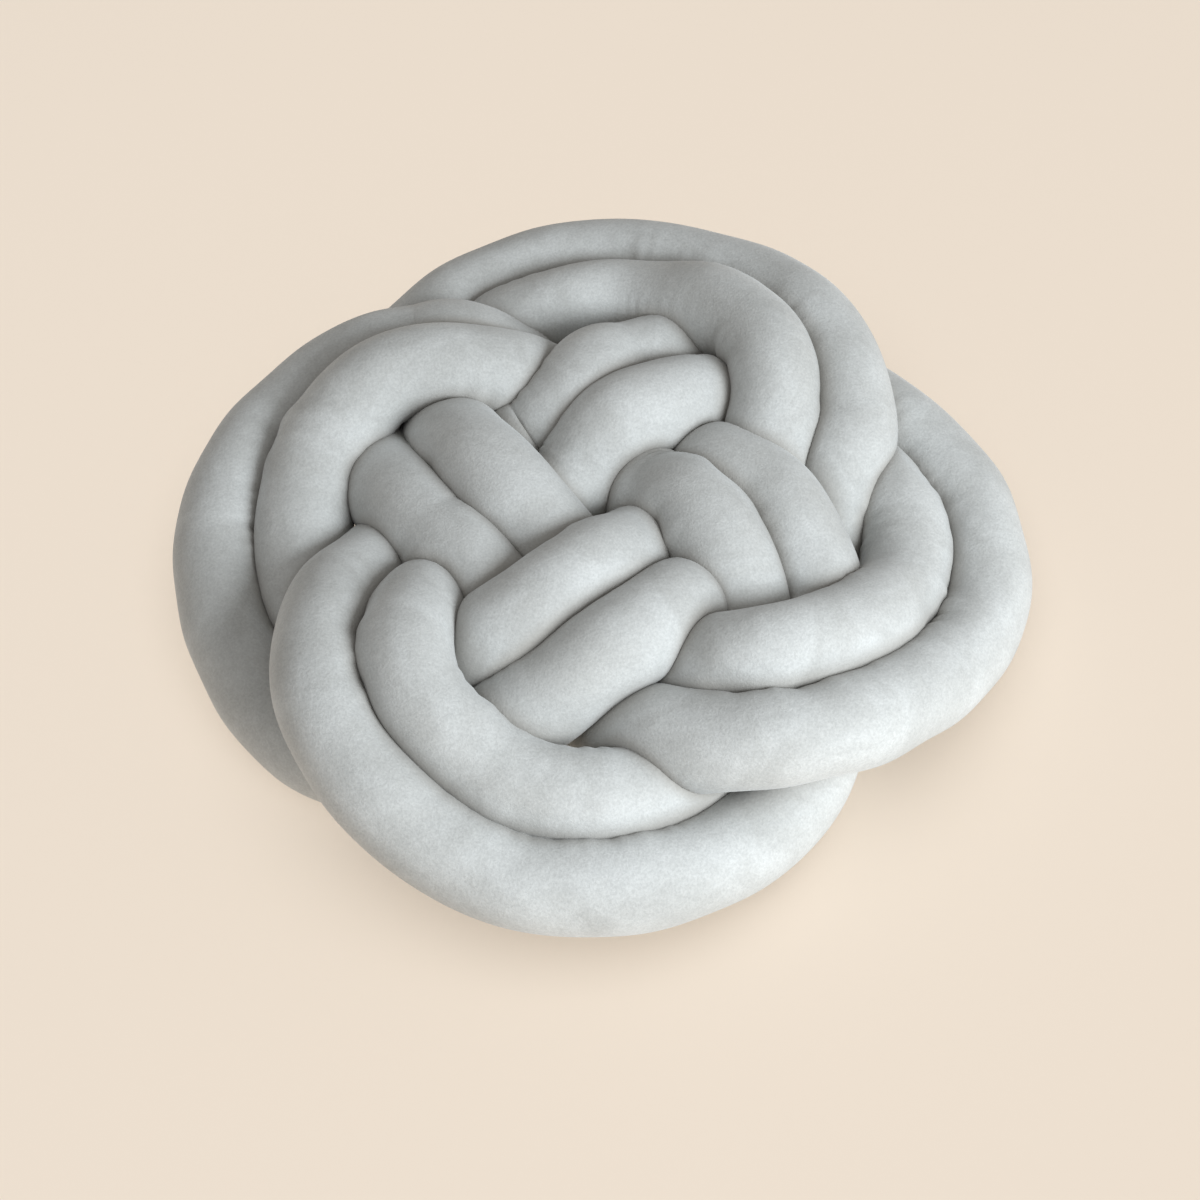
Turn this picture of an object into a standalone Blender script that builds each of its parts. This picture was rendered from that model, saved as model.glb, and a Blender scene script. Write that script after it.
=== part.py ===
"""Knot cushion: two endless stuffed tubes of plush, laid side by side and tied into one flat knot.

The doubled strand runs three times round. Seen from above it makes four round bights at the rim, and it
passes over and under itself in turn at four outer and four inner crossings. The filling swells each tube to
a round section, and each is pressed flat where it meets the other tube, its own next turn and the floor.
"""

import bpy
import numpy as np

# Driving dimensions, in metres.
TUBE_RADIUS = 0.0282  # of a stuffed tube, where nothing presses on it
LANE_SPACING = 0.0515  # between the middles of the two tubes
CONTACT_GAP = 0.0014  # left between stretches of tube that press on each other
OWN_STRETCH = 0.010  # along its own tube, how near a point is too near to press on a section
MOST_SWELLING = 1.15  # times the tube's radius, where its filling is pushed aside
BEND_EVENING = 0.018  # of tube, to either side of a point, over which its bends are evened out
SWELLING_EVENING = 0.025  # of tube, to either side of a section, over which a swelling is evened out
NEAREST_APPROACH = 0.030  # between middle lines: stuffed tubes that press on each other squeeze no flatter
LOWEST_MIDDLE = 0.021  # height of a middle line where the tube is pressed hardest on the floor
SAME_BEND = 0.090  # of tube, to either side of a point, that counts as the point's own stretch

# How finely the tubes are made.
STEPS_A_STATION = 30  # points of the worked-out course, between two of its stations
LINE_PITCH = 0.003  # between the points of a tube's middle line
RING_PITCH = 0.0108  # between its sections
BEVEL_RESOLUTION = 5  # gives each section 14 sides
CONTACT_SHARPNESS = 18  # the higher, the crisper the edge between a round side and a pressed one
SWELLING_ROUNDS = 4  # of working out how far each section swells
SETTLING_ROUNDS = 30  # of pushing the middle lines apart
SETTLING_EVENING = 0.012  # of tube, to either side of a point, over which each push is evened out, twice
OUT_OF_REACH = 1.0  # stands for how far off a contact is that a spoke never meets

# The doubled strand's middle, seen from above: a row for each bight, clockwise from the left one.
# From its bight the strand passes over the next bight's strand at "outer", dives under at "inner", and
# comes nearest to the middle of the knot at "waist".
COURSE_COLUMNS = ("bight", "outer", "inner", "waist")
COURSE = {
    "left": ((-0.216, 0.013), (-0.121, 0.132), (0.022, 0.100), (0.049, 0.041)),
    "top": ((0.001, 0.219), (0.134, 0.120), (0.094, -0.018), (0.044, -0.042)),
    "right": ((0.218, -0.021), (0.099, -0.146), (-0.001, -0.086), (-0.038, -0.052)),
    "bottom": ((-0.025, -0.219), (-0.141, -0.122), (-0.086, 0.011), (-0.043, 0.041)),
}

# The stations of one lap, from a bight to the bight that it runs to: the column of the table above that gives
# the place, and how many rows below the lap's own row it is read.
STATIONS = (("bight", 0), ("outer", 0), ("inner", 0), ("waist", 0), ("inner", 1), ("outer", 2))

# Height of the strand's middle at the stations of each lap. It goes over at the second and the fifth, and
# under at the third and the sixth.
HEIGHTS = {
    "left": (0.042, 0.068, 0.024, 0.052, 0.079, 0.023),
    "top": (0.044, 0.078, 0.023, 0.058, 0.092, 0.022),
    "right": (0.036, 0.091, 0.022, 0.065, 0.071, 0.024),
    "bottom": (0.054, 0.091, 0.021, 0.055, 0.070, 0.022),
}

# How far the pair of tubes is rolled over at the same stations, in degrees: at 0 they lie level side by side,
# and at 90 the inner one would ride on top of the outer one.
ROLLS = {
    "left": (0, 50, 42, 13, 14, -3),
    "top": (14, 25, 8, 6, 0, 2),
    "right": (14, 14, 0, 0, 19, 4),
    "bottom": (22, 10, 4, 10, 16, -1),
}

PLUSH_COLOURS = {"outer_tube": (0.47, 0.50, 0.50), "inner_tube": (0.55, 0.58, 0.58)}
PLUSH_ROUGHNESS = 0.9
PLUSH_SHEEN = 0.6


def strand_stations():
    """The stations' places, heights and rolls in the order in which the strand runs through them."""
    rows = list(COURSE)
    places, heights, rolls = [], [], []
    for lap in range(len(rows)):
        own = -lap % len(rows)
        for column, below in STATIONS:
            row = rows[(own + below) % len(rows)]
            places.append(COURSE[row][COURSE_COLUMNS.index(column)])
        heights += HEIGHTS[rows[own]]
        rolls += ROLLS[rows[own]]
    return np.array(places), np.array(heights), np.radians(rolls)


def closed_spline(knots, at):
    """The closed cubic spline through evenly numbered knots, read at the given numbers."""
    count = len(knots)
    unit = np.eye(count)
    stiffness = 4 * unit + np.roll(unit, 1, axis=0) + np.roll(unit, -1, axis=0)
    bend = 6 * (np.roll(knots, -1, axis=0) - 2 * knots + np.roll(knots, 1, axis=0))
    second = np.linalg.solve(stiffness, bend)
    before = np.floor(at).astype(int) % count
    after = (before + 1) % count
    far = (at - np.floor(at))[:, None]
    near = 1 - far
    straight = near * knots[before] + far * knots[after]
    return straight + ((near**3 - near) * second[before] + (far**3 - far) * second[after]) / 6


def eased(levels, at):
    """Levels given at whole numbers, joined by half cosine waves, so the strand lies level at each."""
    count = len(levels)
    before = np.floor(at).astype(int) % count
    share = (1 - np.cos(np.pi * (at - np.floor(at)))) / 2
    return levels[before] * (1 - share) + levels[(before + 1) % count] * share


def headings(line):
    """The unit direction of a closed line at each of its points."""
    along = np.roll(line, -1, axis=0) - np.roll(line, 1, axis=0)
    return along / np.linalg.norm(along, axis=1, keepdims=True)


def evenly_spaced(line, pitch):
    """Points along a closed line, as near as can be to the pitch apart."""
    closed = np.vstack((line, line[:1]))
    run = np.append(0, np.cumsum(np.linalg.norm(np.diff(closed, axis=0), axis=1)))
    wanted = np.linspace(0, run[-1], round(run[-1] / pitch), endpoint=False)
    return np.stack([np.interp(wanted, run, column) for column in closed.T], axis=1)


def evened(rows, reach):
    """A closed list's rows, each the mean of itself and as many rows as the reach before and after it."""
    return sum(np.roll(rows, step, axis=0) for step in range(-reach, reach + 1)) / (2 * reach + 1)


def other_stretches(lines):
    """Whether each point of the lines, taken one after the other, is on another stretch of tube than each."""
    total = sum(len(line) for line in lines)
    apart = np.ones((total, total), dtype=bool)
    first = 0
    for line in lines:
        number = np.arange(len(line))
        steps = np.abs(number[:, None] - number[None])
        steps = np.minimum(steps, len(line) - steps)
        last = first + len(line)
        apart[first:last, first:last] = steps * LINE_PITCH > SAME_BEND
        first = last
    return apart


def settled(lines):
    """The middle lines pushed apart where they pass each other too near for the stuffed tubes.

    In every round each point moves straight away from the nearest point of another stretch by what is
    lacking of the nearest approach. The pushes are evened out along the tube, so it keeps its bends.
    """
    apart = other_stretches(lines)
    reach = round(SETTLING_EVENING / LINE_PITCH)
    for _ in range(SETTLING_ROUNDS):
        points = np.vstack(lines)
        squares = (points**2).sum(axis=1)
        distances = squares[:, None] + squares[None] - 2 * points @ points.T
        nearest = np.where(apart, distances, np.inf).argmin(axis=1)
        away = points - points[nearest]
        length = np.linalg.norm(away, axis=1, keepdims=True)
        push = away / length * np.maximum(NEAREST_APPROACH - length, 0)
        pushes = np.split(push, [len(lines[0])])
        lines = [line + evened(evened(own, reach), reach) for line, own in zip(lines, pushes)]
        for line in lines:
            line[:, 2] = np.maximum(line[:, 2], LOWEST_MIDDLE)
    return lines


def tube_lines():
    """The middle line of each tube.

    The two lie half the spacing to either side of the strand's middle: the outer one to the left of its
    heading and down by the roll, and the inner one to the right and up. A stuffed tube doesn't bend
    sharply, so each line's bends are evened out, and the lines settle apart where they are too near.
    """
    places, heights, rolls = strand_stations()
    at = np.arange(len(places) * STEPS_A_STATION) / STEPS_A_STATION
    middle = closed_spline(places, at)
    heading = headings(middle)
    left = np.stack((-heading[:, 1], heading[:, 0]), axis=1)
    roll = eased(rolls, at)[:, None]
    outward = np.hstack((left * np.cos(roll), -np.sin(roll))) * LANE_SPACING / 2
    strand = np.column_stack((middle, eased(heights, at)))
    lines = {"outer_tube": strand + outward, "inner_tube": strand - outward}
    reach = round(BEND_EVENING / LINE_PITCH)
    evened_lines = [evened(evenly_spaced(line, LINE_PITCH), reach) for line in lines.values()]
    return dict(zip(lines, settled(evened_lines)))


def round_tube(name, centres):
    """A closed curve with a round bevel as a mesh, whose vertices come ring by ring."""
    curve = bpy.data.curves.new(name, "CURVE")
    curve.dimensions = "3D"
    curve.twist_mode = "Z_UP"
    curve.bevel_depth = TUBE_RADIUS
    curve.bevel_resolution = BEVEL_RESOLUTION
    spline = curve.splines.new("POLY")
    spline.points.add(len(centres) - 1)
    spline.points.foreach_set("co", np.column_stack((centres, np.ones(len(centres)))).ravel())
    spline.use_cyclic_u = True
    guide = bpy.data.objects.new(f"{name}_curve", curve)
    bpy.context.scene.collection.objects.link(guide)
    depsgraph = bpy.context.evaluated_depsgraph_get()
    mesh = bpy.data.meshes.new_from_object(guide.evaluated_get(depsgraph))
    bpy.data.objects.remove(guide)
    mesh.name = name
    return mesh


def reach_of(nearness):
    """The distance that each nearness, one over a distance, stands for."""
    return 1 / np.maximum(nearness, 1 / OUT_OF_REACH)


def contact_reach(centres, spokes, stretches):
    """How far the tube could reach along each spoke of each section before another stretch of tube stops it.

    A spoke u from a section's centre c meets the plane halfway to a point s of the other stretch at
    |s - c|^2 / (2 u.(s - c)), and the tube stops half a gap short of the nearest such plane.
    """
    across = stretches[None] - centres[:, None]
    apart = (across**2).sum(axis=2)
    apart[apart < OWN_STRETCH**2] = np.inf
    nearness = 2 * np.einsum("rsi,rpi->rsp", spokes, across) / apart[:, None]
    return reach_of(nearness.max(axis=2)) - CONTACT_GAP / 2


def filled_reach(contact, floor):
    """How far the tube does reach: round where it is free, flat where it is pressed, and as full as ever.

    A section's free radius blends into its contacts with a rounded edge, and the floor cuts it flat. The
    filling pushed aside swells the free radius until the section's area, which goes with the mean square of
    its reach, is a round tube's again, or the swelling is the most that the plush allows.
    """
    radius = np.full((len(contact), 1), TUBE_RADIUS)
    for _ in range(SWELLING_ROUNDS):
        blended = (radius**-CONTACT_SHARPNESS + contact**-CONTACT_SHARPNESS) ** (-1 / CONTACT_SHARPNESS)
        reach = np.minimum(blended, floor)
        fullness = (reach**2).mean(axis=1, keepdims=True) / TUBE_RADIUS**2
        radius = np.minimum(radius / np.sqrt(fullness), MOST_SWELLING * TUBE_RADIUS)
        radius = evened(radius, round(SWELLING_EVENING / RING_PITCH))
    return reach


def stuffed_tube(name, lines):
    """One tube's mesh: a round tube along its line, with every section pressed by what it touches."""
    centres = evenly_spaced(lines[name], RING_PITCH)
    mesh = round_tube(name, centres)
    points = np.empty(len(mesh.vertices) * 3)
    mesh.vertices.foreach_get("co", points)
    spokes = points.reshape(len(centres), -1, 3) - centres[:, None]
    spokes /= np.linalg.norm(spokes, axis=2, keepdims=True)
    contact = contact_reach(centres, spokes, np.vstack(list(lines.values())))
    floor = reach_of(-spokes[..., 2] / centres[:, None, 2])
    reach = filled_reach(contact, floor)
    pressed = centres[:, None] + spokes * reach[..., None]
    mesh.vertices.foreach_set("co", pressed.ravel())
    mesh.shade_smooth()
    mesh.update()
    return mesh


def plush(name, colour):
    """Short-pile plush: matt, with a soft sheen."""
    material = bpy.data.materials.new(f"{name}_plush")
    material.use_nodes = True
    shader = material.node_tree.nodes["Principled BSDF"]
    shader.inputs["Base Color"].default_value = (*colour, 1)
    shader.inputs["Roughness"].default_value = PLUSH_ROUGHNESS
    shader.inputs["Metallic"].default_value = 0
    shader.inputs["Sheen Weight"].default_value = PLUSH_SHEEN
    return material


for leftover in list(bpy.data.objects):
    bpy.data.objects.remove(leftover)
cushion = bpy.data.collections.new("knot_cushion")
bpy.context.scene.collection.children.link(cushion)
tube_middles = tube_lines()
for tube_name, tube_colour in PLUSH_COLOURS.items():
    tube = bpy.data.objects.new(tube_name, stuffed_tube(tube_name, tube_middles))
    tube.data.materials.append(plush(tube_name, tube_colour))
    cushion.objects.link(tube)
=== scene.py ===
import math

import bpy
import numpy as np
from mathutils import Matrix, Vector


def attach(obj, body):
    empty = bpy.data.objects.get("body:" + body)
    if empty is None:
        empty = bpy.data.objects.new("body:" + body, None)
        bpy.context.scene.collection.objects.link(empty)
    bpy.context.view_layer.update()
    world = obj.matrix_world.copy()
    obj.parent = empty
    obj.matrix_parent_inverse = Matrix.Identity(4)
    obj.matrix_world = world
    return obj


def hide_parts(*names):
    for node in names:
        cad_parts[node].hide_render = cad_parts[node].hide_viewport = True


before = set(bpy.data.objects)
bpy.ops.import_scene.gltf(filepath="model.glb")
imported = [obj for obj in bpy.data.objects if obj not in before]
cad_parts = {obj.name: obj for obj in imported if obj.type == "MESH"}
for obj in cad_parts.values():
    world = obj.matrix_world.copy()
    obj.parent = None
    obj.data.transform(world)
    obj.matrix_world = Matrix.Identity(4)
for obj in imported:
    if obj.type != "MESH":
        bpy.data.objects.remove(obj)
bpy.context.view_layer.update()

# --- The eye on the knot ------------------------------------------------------------------------------------
# The cushion lies flat on its back, and is looked down on from in front and above, from about 1.4 m away,
# with the camera leaning by a hair. Its place, lean and lens come from the same program as most of the
# strand's course below.

LOOKED_AT = Vector((-0.0004, -0.0421, 0.040))
EYE_DISTANCE = 1.425
EYE_ELEVATION = math.radians(55.70)
EYE_LEAN = math.radians(-0.92)
LENS_MM = 68.8

eye = bpy.data.objects.new("eye", bpy.data.cameras.new("eye"))
bpy.context.scene.collection.objects.link(eye)
backward = Vector((0, -math.cos(EYE_ELEVATION), math.sin(EYE_ELEVATION)))
rightward = Vector((1, 0, 0))
upward = backward.cross(rightward)
leaning = Matrix.Rotation(EYE_LEAN, 3, backward)
turned = leaning @ Matrix((rightward, upward, backward)).transposed()
eye.matrix_world = Matrix.Translation(LOOKED_AT + backward * EYE_DISTANCE) @ turned.to_4x4()
eye.data.lens = LENS_MM
eye.data.sensor_width = 36
eye.data.clip_start = 0.1
eye.data.clip_end = 30
bpy.context.scene.camera = eye

# --- The outer tube -----------------------------------------------------------------------------------------
# One endless sleeve of short-pile plush, sewn lengthwise, turned, stuffed with fibre and closed end to end.
# It runs three times round the knot beside its twin, and is pulled snug, so it presses flat on whatever it
# crosses and bulges softly where it is free.

TUBE_RADIUS = 0.0284
LANE_SPACING = 0.0515  # between the middles of the two tubes that lie side by side
SNUG_GAP = -0.004  # the pile of two pressed tubes sinks into each other
OWN_STRETCH = 0.010  # no nearer than this is a middle another stretch's
MOST_SWELLING = 1.18  # of the radius, where a tube is free
SWELLING_ROUNDS = 4
BEND_EVENING = 0.018  # of tube, to either side of a point, over which its bends are evened out
SWELLING_EVENING = 0.025
SHOULDER = 0.004  # over how much reach a round side turns into a pressed one
NEAREST_APPROACH = 0.030  # between middle lines: pressed tubes squeeze no flatter
LOWEST_MIDDLE = 0.021  # above the floor
SAME_BEND = 0.090  # of tube, to either side of a point, that is no other stretch than the point's own
SETTLING_ROUNDS = 30
SETTLING_EVENING = 0.012
STEPS_A_STATION = 30
LINE_PITCH = 0.003
RING_PITCH = 0.0029
RINGS_AT_ONCE = 60
SIDES = 80

PRESSED_REACH = 0.012  # the gap to a contact at which its hold on the cloth has fallen to 1/e
LUMP_HEIGHT = 0.0005
FOLD_HEIGHT = 0.0011
HELD_PUCKER = 0.0003
SQUEEZED_PUCKER = 0.0009
SEAM_DEPTH = 0.0003  # by which a contact draws the cloth in
SQUEEZE_EVENING = 5  # rings
GATHERED = {"outer_tube": (), "inner_tube": (((-0.187, 0.026), 0.0045),)}  # places, and how much fuller
GATHERED_REACH = 0.035

# The doubled strand's middle, seen from above: a row for each bight, clockwise from the left one. From its
# bight the strand passes over the next bight's strand at "outer", dives under at "inner", and comes nearest
# to the knot's middle at "waist". Most numbers of this table and of the two below it were found by a program
# that fitted the lanes to the photograph, and the others were then set one by one.
COURSE_COLUMNS = ("bight", "outer", "inner", "waist")
COURSE = {
    "left": ((-0.215, 0.013), (-0.124, 0.129), (0.024, 0.099), (0.049, 0.041)),
    "top": ((0.001, 0.219), (0.134, 0.120), (0.094, -0.018), (0.044, -0.042)),
    "right": ((0.218, -0.021), (0.099, -0.146), (-0.001, -0.086), (-0.038, -0.052)),
    "bottom": ((-0.025, -0.219), (-0.141, -0.122), (-0.086, 0.011), (-0.043, 0.041)),
}
# The stations of one lap: the column that gives the place, and how many rows below the lap's own it is read.
STATIONS = (("bight", 0), ("outer", 0), ("inner", 0), ("waist", 0), ("inner", 1), ("outer", 2))
# The height of the strand's middle at the stations of each lap.
HEIGHTS = {
    "left": (0.042, 0.067, 0.022, 0.052, 0.079, 0.023),
    "top": (0.044, 0.078, 0.023, 0.058, 0.092, 0.022),
    "right": (0.036, 0.091, 0.022, 0.065, 0.071, 0.024),
    "bottom": (0.054, 0.091, 0.021, 0.055, 0.070, 0.022),
}
# How far the pair of tubes is rolled over there, in degrees: at 90 the inner one would ride on the outer one.
ROLLS = {
    "left": (4, 40, 56, 13, 14, -3),
    "top": (14, 25, 8, 6, 0, 2),
    "right": (14, 14, 0, 0, 19, 4),
    "bottom": (22, 10, 4, 10, 16, -1),
}


def knot_stations():
    """The stations' places, heights and rolls in the order in which the doubled strand runs through them."""
    rows = list(COURSE)
    places, heights, rolls = [], [], []
    for lap in range(len(rows)):
        own = -lap % len(rows)
        for column, below in STATIONS:
            row = rows[(own + below) % len(rows)]
            places.append(COURSE[row][COURSE_COLUMNS.index(column)])
        heights += HEIGHTS[rows[own]]
        rolls += ROLLS[rows[own]]
    return np.array(places), np.array(heights), np.radians(rolls)


def closed_spline(knots, at):
    """The closed cubic spline through evenly numbered knots: its second derivatives solve the cyclic system
    M[-1] + 4 M + M[+1] = 6 x (second difference of the knots), and each span is its cubic."""
    count = len(knots)
    unit = np.eye(count)
    stiffness = 4 * unit + np.roll(unit, 1, axis=0) + np.roll(unit, -1, axis=0)
    bend = 6 * (np.roll(knots, -1, axis=0) - 2 * knots + np.roll(knots, 1, axis=0))
    second = np.linalg.solve(stiffness, bend)
    before = np.floor(at).astype(int) % count
    after = (before + 1) % count
    far = (at - np.floor(at))[:, None]
    near = 1 - far
    straight = near * knots[before] + far * knots[after]
    return straight + ((near**3 - near) * second[before] + (far**3 - far) * second[after]) / 6


def eased(levels, at):
    """Levels at whole numbers, joined by half cosine waves."""
    before = np.floor(at).astype(int) % len(levels)
    share = (1 - np.cos(np.pi * (at - np.floor(at)))) / 2
    return levels[before] * (1 - share) + levels[(before + 1) % len(levels)] * share


def headings(line):
    """The unit direction of a closed line: from the point before to the point after."""
    along = np.roll(line, -1, axis=0) - np.roll(line, 1, axis=0)
    return along / np.linalg.norm(along, axis=1, keepdims=True)


def evenly_spaced(line, pitch):
    """Points the same distance apart along a closed line, read from its running length."""
    closed = np.vstack((line, line[:1]))
    run = np.append(0, np.cumsum(np.linalg.norm(np.diff(closed, axis=0), axis=1)))
    wanted = np.linspace(0, run[-1], round(run[-1] / pitch), endpoint=False)
    return np.stack([np.interp(wanted, run, column) for column in closed.T], axis=1)


def evened(rows, reach):
    """A closed list's rows, each the mean of itself and the rows within reach of it."""
    return sum(np.roll(rows, step, axis=0) for step in range(-reach, reach + 1)) / (2 * reach + 1)


def other_stretches(lines):
    """Whether two points of the lines, numbered on from line to line, are on different stretches of tube: on
    two lines, or further apart on one than the same bend reaches."""
    total = sum(len(line) for line in lines)
    apart = np.ones((total, total), dtype=bool)
    first = 0
    for line in lines:
        number = np.arange(len(line))
        steps = np.abs(number[:, None] - number[None])
        steps = np.minimum(steps, len(line) - steps)
        last = first + len(line)
        apart[first:last, first:last] = steps * LINE_PITCH > SAME_BEND
        first = last
    return apart


def settled(lines):
    """The lines pushed apart where they pass too near: in every round each point p moves away from the
    nearest point q of another stretch by (p - q) / |p - q| x (the nearest approach - |p - q|), where that
    is more than nothing, and the moves are evened out along the tube."""
    apart = other_stretches(lines)
    reach = round(SETTLING_EVENING / LINE_PITCH)
    for _ in range(SETTLING_ROUNDS):
        points = np.vstack(lines)
        squares = (points**2).sum(axis=1)
        distances = squares[:, None] + squares[None] - 2 * points @ points.T
        nearest = np.where(apart, distances, np.inf).argmin(axis=1)
        away = points - points[nearest]
        length = np.linalg.norm(away, axis=1, keepdims=True)
        push = away / length * np.maximum(NEAREST_APPROACH - length, 0)
        pushes = np.split(push, [len(lines[0])])
        lines = [line + evened(evened(own, reach), reach) for line, own in zip(lines, pushes)]
        for line in lines:
            line[:, 2] = np.maximum(line[:, 2], LOWEST_MIDDLE)
    return lines


def tube_lines():
    """Each tube's middle line: half the lane spacing to the left of the strand's heading and down by the
    roll for the outer tube, and to the right and up for the inner one, with its bends evened out, and
    settled apart."""
    places, heights, rolls = knot_stations()
    at = np.arange(len(places) * STEPS_A_STATION) / STEPS_A_STATION
    middle = closed_spline(places, at)
    heading = headings(middle)
    left = np.stack((-heading[:, 1], heading[:, 0]), axis=1)
    roll = eased(rolls, at)[:, None]
    outward = np.hstack((left * np.cos(roll), -np.sin(roll))) * LANE_SPACING / 2
    strand = np.column_stack((middle, eased(heights, at)))
    lines = {"outer_tube": strand + outward, "inner_tube": strand - outward}
    reach = round(BEND_EVENING / LINE_PITCH)
    evened_lines = [evened(evenly_spaced(line, LINE_PITCH), reach) for line in lines.values()]
    return dict(zip(lines, settled(evened_lines)))


def contact_reach(centres, spokes, stretches):
    """How far each spoke goes before it meets the plane halfway to another stretch of tube: for a spoke u
    and the way E to the other stretch's middle, |E|^2 / (2 u.E), less half the snug gap. It is worked out
    for a block of rings at a time."""
    reaches = []
    for first in range(0, len(centres), RINGS_AT_ONCE):
        block = slice(first, first + RINGS_AT_ONCE)
        across = stretches[None] - centres[block, None]
        apart = (across**2).sum(axis=2)
        apart[apart < OWN_STRETCH**2] = np.inf
        nearness = 2 * np.matmul(spokes[block], (across / apart[..., None]).transpose(0, 2, 1))
        reaches.append(1 / np.maximum(nearness.max(axis=2), 1))
    return np.vstack(reaches) - SNUG_GAP / 2


def rounded_least(one, other, shoulder):
    """The lesser of two reaches, with the corner between them rounded: less (shoulder - difference)^2 over
    four shoulders, wherever they differ by less than the shoulder."""
    meeting = np.clip(shoulder - np.abs(one - other), 0, None)
    return np.minimum(one, other) - meeting**2 / (4 * shoulder)


def waves(count, along, longest, shortest, turns, length, seed):
    """A sum of waves on the tube: cos(2 pi m s / L + n a + phase), m whole so that each closes, with n turns
    about the section, and all of the same strength."""
    dice = np.random.default_rng(seed)
    ring = np.linspace(0, 2 * np.pi, SIDES, endpoint=False)[None]
    total = 0
    for _ in range(count):
        beats = round(length / dice.uniform(shortest, longest))
        spin = dice.integers(-turns, turns + 1)
        total = total + np.cos(2 * np.pi * beats * along + spin * ring + dice.uniform(0, 2 * np.pi))
    return total / math.sqrt(count / 2)


def stuffed_surface(name, lines, seed):
    """The tube's surface as rings of points, and how closely each point is pressed.

    The tube's surface as rings of points, and how closely each point is held, the mask of painted crease
    shade.
    the swollen free radius and the contact, with rounded shoulders, and is cut flat at the floor. The free
    radius makes up for the filling that the contacts push aside. Soft lumps of filling are added to it, small
    puckers where the cloth is held or squeezed inside a bend, and wider folds across the tube where it is
    held. Where filling has gathered, the tube is fuller by extra x exp(-d^2 / (2 x reach^2)) at a distance d.
    """
    centres = evenly_spaced(lines[name], RING_PITCH)
    length = np.linalg.norm(np.diff(np.vstack((centres, centres[:1])), axis=0), axis=1).sum()
    heading = headings(centres)
    aside = np.cross(heading, (0, 0, 1))
    aside /= np.linalg.norm(aside, axis=1, keepdims=True)
    above = np.cross(aside, heading)
    turn = np.linspace(0, 2 * np.pi, SIDES, endpoint=False)[None, :, None]
    spokes = np.cos(turn) * aside[:, None] + np.sin(turn) * above[:, None]
    contact = contact_reach(centres, spokes, np.vstack(list(lines.values())))
    ground = 1 / np.maximum(-spokes[..., 2] / centres[:, None, 2], 1)
    radius = np.full((len(centres), 1), TUBE_RADIUS)
    for _ in range(SWELLING_ROUNDS):
        reach = np.minimum(rounded_least(radius, contact, SHOULDER), ground)
        fullness = (reach**2).mean(axis=1, keepdims=True) / TUBE_RADIUS**2
        radius = np.minimum(radius / np.sqrt(fullness), MOST_SWELLING * TUBE_RADIUS)
        radius = evened(radius, round(SWELLING_EVENING / RING_PITCH))
    along = np.arange(len(centres))[:, None] / len(centres)
    curving = (np.roll(heading, -1, axis=0) - np.roll(heading, 1, axis=0)) / (2 * RING_PITCH)
    squeeze = np.clip(np.einsum("rsi,ri->rs", spokes, evened(curving, SQUEEZE_EVENING)) * TUBE_RADIUS, 0, 1)
    held = np.exp(-np.clip(contact - reach, 0, None) / PRESSED_REACH)
    lumps = waves(40, along, 0.150, 0.050, 2, length, seed) * LUMP_HEIGHT
    puckers = waves(24, along, 0.019, 0.009, 1, length, seed + 1)
    here = np.clip(waves(16, along, 0.30, 0.08, 1, length, seed + 2) * 0.5 + 0.4, 0, 1)
    puckers = puckers * here * (HELD_PUCKER * held + SQUEEZED_PUCKER * squeeze)
    folds = waves(24, along, 0.050, 0.026, 0, length, seed + 3) * here * held * FOLD_HEIGHT
    free = radius + lumps + puckers + folds
    for spot, extra in GATHERED[name]:
        squares = ((centres[:, :2] - spot) ** 2).sum(axis=1)[:, None]
        free = free + extra * np.exp(-squares / (2 * GATHERED_REACH**2))
    reach = np.minimum(rounded_least(free, contact + puckers * 0.5 - SEAM_DEPTH, SHOULDER), ground)
    points = centres[:, None] + spokes * reach[..., None]
    return points, held


def woven_mesh(name, points, layers):
    """A closed grid of points as a mesh of quads, with a UV map of metres along and round the tube and a
    value at each point for each layer."""
    rings, sides = points.shape[:2]
    number = np.arange(rings * sides).reshape(rings, sides)
    ahead = np.roll(number, -1, axis=0)
    quads = np.stack((number, ahead, np.roll(ahead, -1, axis=1), np.roll(number, -1, axis=1)), axis=2)
    mesh = bpy.data.meshes.new(name)
    mesh.from_pydata(points.reshape(-1, 3), [], quads.reshape(-1, 4))
    ring, side = np.meshgrid(np.arange(rings), np.arange(sides), indexing="ij")
    along = np.stack((ring, ring + 1, ring + 1, ring), axis=2) * RING_PITCH
    around = np.stack((side, side, side + 1, side + 1), axis=2) * (2 * np.pi * TUBE_RADIUS / sides)
    cloth = mesh.uv_layers.new(name="cloth")
    cloth.data.foreach_set("uv", np.stack((along, around), axis=3).ravel())
    for layer, values in layers.items():
        attribute = mesh.attributes.new(layer, "FLOAT", "POINT")
        attribute.data.foreach_set("value", values.ravel())
    mesh.shade_smooth()
    return mesh


PLUSH_DARK = (0.505, 0.519, 0.515, 1)
PLUSH_LIGHT = (0.605, 0.627, 0.63, 1)
# Painted shade: the warmer, darker tone mixed into the plush in the creases, where a tube nears a contact.
PAINTED_CREASE_SHADE = (0.36, 0.345, 0.32, 1)
SMUDGES_A_METRE = 16
CLUMPS_A_METRE = 170
PILE_A_METRE = 620


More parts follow.
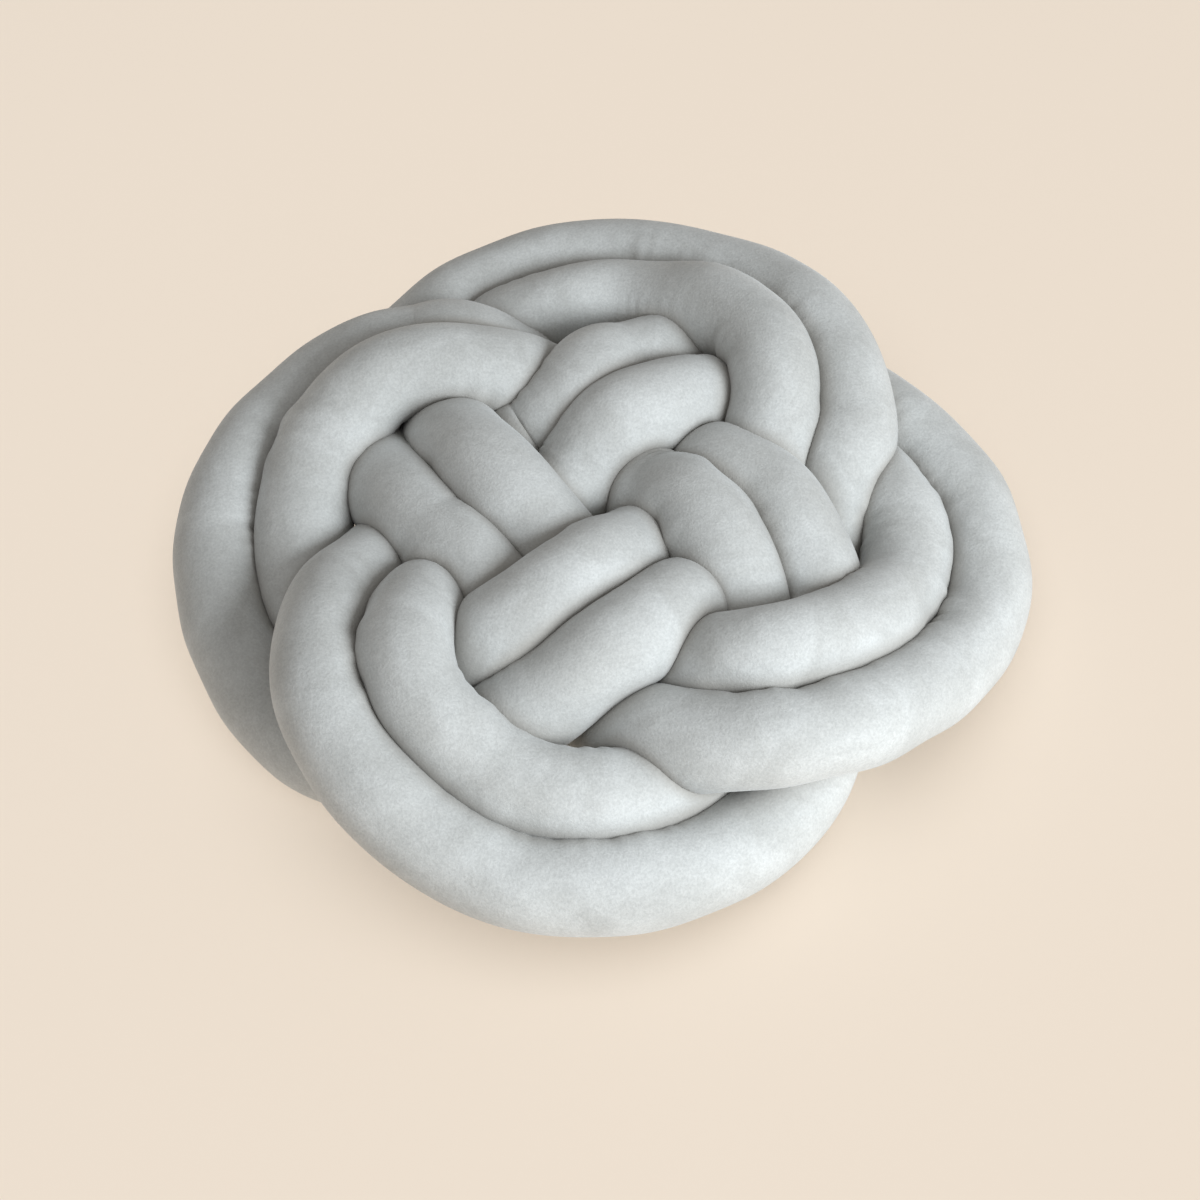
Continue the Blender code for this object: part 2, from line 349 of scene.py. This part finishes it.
def plush(name):
    """Short-pile plush on the Object coordinates: a cool grey in brushed smudges of two tones, a fine grain
    of pile in colour and bump, and a painted shade, warmer and darker, in the creases near each contact."""
    cloth = bpy.data.materials.new(name)
    cloth.use_nodes = True
    nodes, links = cloth.node_tree.nodes, cloth.node_tree.links
    shader = nodes["Principled BSDF"]
    place = nodes.new("ShaderNodeTexCoord").outputs["Object"]

    def noise(scale, detail, roughness=0.5, distortion=0.0):
        texture = nodes.new("ShaderNodeTexNoise")
        texture.inputs["Scale"].default_value = scale
        texture.inputs["Detail"].default_value = detail
        texture.inputs["Roughness"].default_value = roughness
        texture.inputs["Distortion"].default_value = distortion
        links.new(place, texture.inputs["Vector"])
        return texture.outputs["Fac"]

    def stretched(value, low, high, bottom, top):
        mapped = nodes.new("ShaderNodeMapRange")
        mapped.interpolation_type = "SMOOTHSTEP"
        for socket, number in zip(("From Min", "From Max", "To Min", "To Max"), (low, high, bottom, top)):
            mapped.inputs[socket].default_value = number
        links.new(value, mapped.inputs["Value"])
        return mapped.outputs["Result"]

    def mixed(how, share, one, other):
        mix = nodes.new("ShaderNodeMix")
        mix.data_type = "RGBA"
        mix.blend_type = how
        for socket, given in ((mix.inputs[0], share), (mix.inputs[6], one), (mix.inputs[7], other)):
            if isinstance(given, (int, float, tuple)):
                socket.default_value = given
            else:
                links.new(given, socket)
        return mix.outputs[2]

    smudges = stretched(noise(SMUDGES_A_METRE, 4, 0.6, 0.8), 0.32, 0.68, 0, 1)
    pile = noise(PILE_A_METRE, 3, 0.7)
    clumps = noise(CLUMPS_A_METRE, 3, 0.6)
    colour = mixed("MIX", smudges, PLUSH_DARK, PLUSH_LIGHT)
    colour = mixed("MULTIPLY", 1, colour, stretched(pile, 0.25, 0.75, 0.87, 1.07))
    colour = mixed("MULTIPLY", 1, colour, stretched(clumps, 0.3, 0.7, 0.965, 1.02))
    # Painted crease shade: the crease tone is mixed in as the cloth nears a contact.
    painted_crease_shade = nodes.new("ShaderNodeAttribute")
    painted_crease_shade.attribute_name = "painted_crease_shade"
    colour = mixed("MIX", stretched(painted_crease_shade.outputs["Fac"], 0.2, 1, 0, 0.8), colour, PAINTED_CREASE_SHADE)
    links.new(colour, shader.inputs["Base Color"])
    bump = nodes.new("ShaderNodeBump")
    bump.inputs["Strength"].default_value = 0.48
    bump.inputs["Distance"].default_value = 0.0006
    links.new(pile, bump.inputs["Height"])
    soft = nodes.new("ShaderNodeBump")
    soft.inputs["Strength"].default_value = 0.25
    soft.inputs["Distance"].default_value = 0.0012
    links.new(clumps, soft.inputs["Height"])
    links.new(bump.outputs["Normal"], soft.inputs["Normal"])
    links.new(soft.outputs["Normal"], shader.inputs["Normal"])
    shader.inputs["Roughness"].default_value = 0.92
    shader.inputs["Specular IOR Level"].default_value = 0.2
    shader.inputs["Sheen Weight"].default_value = 0.35
    shader.inputs["Sheen Roughness"].default_value = 0.45
    shader.inputs["Sheen Tint"].default_value = (0.93, 0.97, 1.0, 1)
    return cloth


tube_middles = tube_lines()


def plush_tube(name, seed):
    """A stuffed tube's piece, in the place of its solid."""
    points, held = stuffed_surface(name, tube_middles, seed)
    # How closely the cloth is held by a contact goes on the mesh as the mask of the painted crease shade.
    piece = bpy.data.objects.new(f"{name}_plush", woven_mesh(f"{name}_plush", points, {"painted_crease_shade": held}))
    piece.data.materials.append(plush(f"{name}_plush"))
    bpy.context.scene.collection.objects.link(piece)
    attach(piece, "root")
    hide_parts(name)
    return piece


outer_plush = plush_tube("outer_tube", 11)

# --- The inner tube -----------------------------------------------------------------------------------------
# The twin of the outer tube, sewn and stuffed in the same way from the same plush. It lies on the inside of
# every bight, where the pair rolls over and it rides a little higher.

inner_plush = plush_tube("inner_tube", 23)

# --- The floor and the light --------------------------------------------------------------------------------
# A seamless sheet of pale beige paper under the cushion, lit evenly from overhead. Most of that light also
# falls where the cushion would shade it, so only a soft contact shadow stays. The cushion has a cool window
# light from the front right and a weak one from the left.

FLOOR_WIDTH = 12

floor = bpy.data.objects.new("floor", bpy.data.meshes.new("floor"))
edge = FLOOR_WIDTH / 2
corners = [(-edge, -edge, 0), (edge, -edge, 0), (edge, edge, 0), (-edge, edge, 0)]
floor.data.from_pydata(corners, [], [(0, 1, 2, 3)])
bpy.context.scene.collection.objects.link(floor)
paper = bpy.data.materials.new("floor_paper")
paper.use_nodes = True
sheet = paper.node_tree.nodes["Principled BSDF"]
sheet.inputs["Base Color"].default_value = (0.80, 0.715, 0.62, 1)
sheet.inputs["Roughness"].default_value = 1.0
sheet.inputs["Specular IOR Level"].default_value = 0.0
floor.data.materials.append(paper)

LIT = {"cushion": (outer_plush, inner_plush), "paper": (floor,)}
lit = {}
for subject, objects in LIT.items():
    lit[subject] = bpy.data.collections.new(f"lit_{subject}")
    for each in objects:
        lit[subject].objects.link(each)

# Each lamp: what it lights, where it hangs, its width, its power in watts and its colour. What a lamp named
# fill doesn't light doesn't shade it either.
LAMPS = {
    "window": ("cushion", (1.10, -0.95, 0.95), 0.8, 31, (0.93, 0.975, 1.0)),
    "left_fill": ("cushion", (-1.3, -1.5, 1.6), 1.6, 3, (0.96, 0.98, 1.0)),
    "overhead": ("paper", (0.0, -0.7, 5.0), 6.0, 92, (1.0, 0.99, 0.98)),
    "overhead_fill": ("paper", (0.0, -0.4, 5.0), 6.0, 155, (1.0, 0.99, 0.98)),
}
for name, (subject, spot, width, power, colour) in LAMPS.items():
    lamp = bpy.data.objects.new(name, bpy.data.lights.new(name, "AREA"))
    lamp.data.size = width
    lamp.data.energy = power
    lamp.data.color = colour
    lamp.matrix_world = Matrix.Translation(spot) @ Vector(spot).to_track_quat("Z", "Y").to_matrix().to_4x4()
    bpy.context.scene.collection.objects.link(lamp)
    lamp.light_linking.receiver_collection = lit[subject]
    if name.endswith("fill"):
        lamp.light_linking.blocker_collection = lit[subject]

room = bpy.data.worlds.new("room")
room.use_nodes = True
room.node_tree.nodes["Background"].inputs["Color"].default_value = (1.0, 0.965, 0.92, 1)
room.node_tree.nodes["Background"].inputs["Strength"].default_value = 0.38
bpy.context.scene.world = room
bpy.context.scene.view_settings.view_transform = "Standard"
